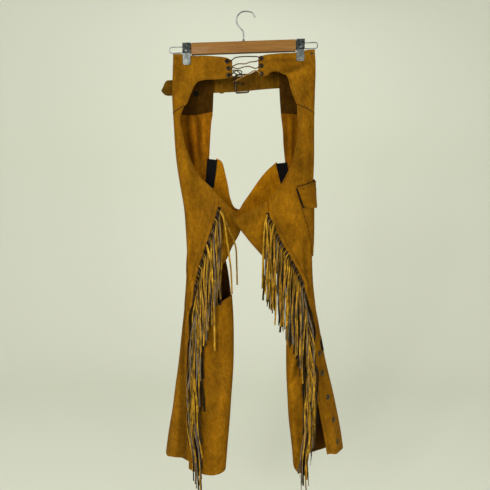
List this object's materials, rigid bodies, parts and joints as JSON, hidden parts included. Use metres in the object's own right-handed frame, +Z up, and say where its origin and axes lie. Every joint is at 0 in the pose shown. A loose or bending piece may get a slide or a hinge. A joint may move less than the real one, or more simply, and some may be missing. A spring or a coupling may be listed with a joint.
{
  "type": "leather chaps on a clip hanger",
  "caption": "Fringed mustard suede chaps, laced at the back, belted in front, with a thigh pocket and a snapped shin, hung from a wooden clip hanger.",
  "frame": {"origin": "inside top of the hanger's hook, on the middle of its wire's width, where it bears on a rail or peg", "axes": "+Z up; +X across the garment, to the right as pictured; the laced back, which the picture shows, faces -Y and the belted front faces +Y"},
  "size_m": [0.5002, 0.1562, 1.1913],
  "materials": {
    "suede": "napped suede, matt",
    "fringe_suede": "cut suede, matt",
    "belt_leather": "suede strap, matt",
    "lace_leather": "thin brown lace, dull",
    "stretch_cloth": "black stretch knit",
    "dark_metal": "dark antiqued metal",
    "steel": "plated wire and sheet",
    "dark_plastic": "dark ribbed grip",
    "wood": "light brown varnished wood"
  },
  "bodies": {
    "root": {"bail_left": "steel", "bail_right": "steel", "belt_billet": "belt_leather", "belt_buckle_strap": "belt_leather", "belt_keeper": "belt_leather", "buckle_frame": "dark_metal", "buckle_prong": "dark_metal", "calf_inner_left": "suede", "calf_inner_right": "suede", "clip_grip_left": "dark_plastic", "clip_grip_right": "dark_plastic", "clip_left": "steel", "clip_right": "steel", "eyelet_left_1": "dark_metal", "eyelet_left_2": "dark_metal", "eyelet_left_3": "dark_metal", "eyelet_right_1": "dark_metal", "eyelet_right_2": "dark_metal", "eyelet_right_3": "dark_metal", "fringe_shin_left": "fringe_suede", "fringe_shin_right": "fringe_suede", "fringe_thigh_left": "fringe_suede", "fringe_thigh_right": "fringe_suede", "gusset_left": "stretch_cloth", "gusset_right": "stretch_cloth", "hanger_bar": "wood", "hanger_hook": "steel", "hip_rivet": "dark_metal", "inside_snap": "dark_metal", "lace_1": "lace_leather", "lace_2": "lace_leather", "lace_3": "lace_leather", "lace_knot": "lace_leather", "leg_outer_left": "suede", "leg_outer_right": "suede", "pocket_flap": "suede", "pocket_patch": "suede", "snap_1": "dark_metal", "snap_2": "dark_metal", "snap_3": "dark_metal", "snap_4": "dark_metal", "snap_5": "dark_metal", "thigh_inner_left": "suede", "thigh_inner_right": "suede", "yoke_left": "suede", "yoke_right": "suede"}
  },
  "joints": []
}
